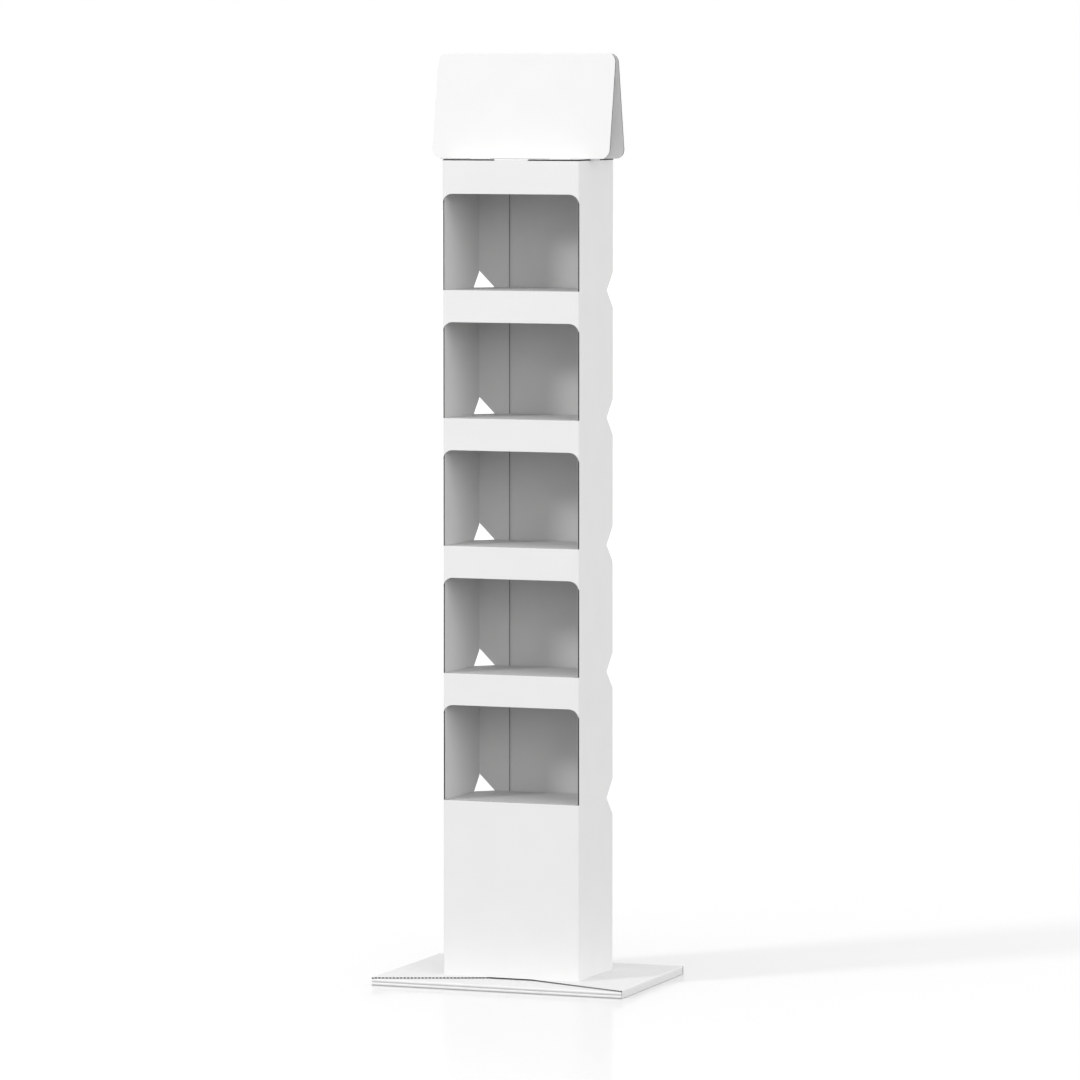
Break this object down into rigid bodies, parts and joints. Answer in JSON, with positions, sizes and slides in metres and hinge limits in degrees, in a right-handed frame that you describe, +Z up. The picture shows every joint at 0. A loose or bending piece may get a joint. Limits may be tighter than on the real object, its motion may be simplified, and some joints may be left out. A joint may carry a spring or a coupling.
{
  "type": "cardboard floor display stand",
  "caption": "Tall free-standing display of folded white corrugated board: a slim column with open front bays and shelves, an A-frame header on top and a flat layered base.",
  "frame": {"origin": "middle of the base's footprint, on the floor", "axes": "+Z up; -Y is the front with the open bays; +X is to the right seen from the front"},
  "size_m": [0.5, 0.346, 1.7506],
  "materials": {
    "white_board": "matt white liner on corrugated board"
  },
  "bodies": {
    "root": {"base_plate_lower": "white_board", "base_plate_upper": "white_board", "base_top_sheet": "white_board", "column": "white_board", "shelf_1": "white_board", "shelf_2": "white_board", "shelf_3": "white_board", "shelf_4": "white_board", "shelf_5": "white_board", "top_lid": "white_board", "header": "white_board"}
  },
  "joints": []
}
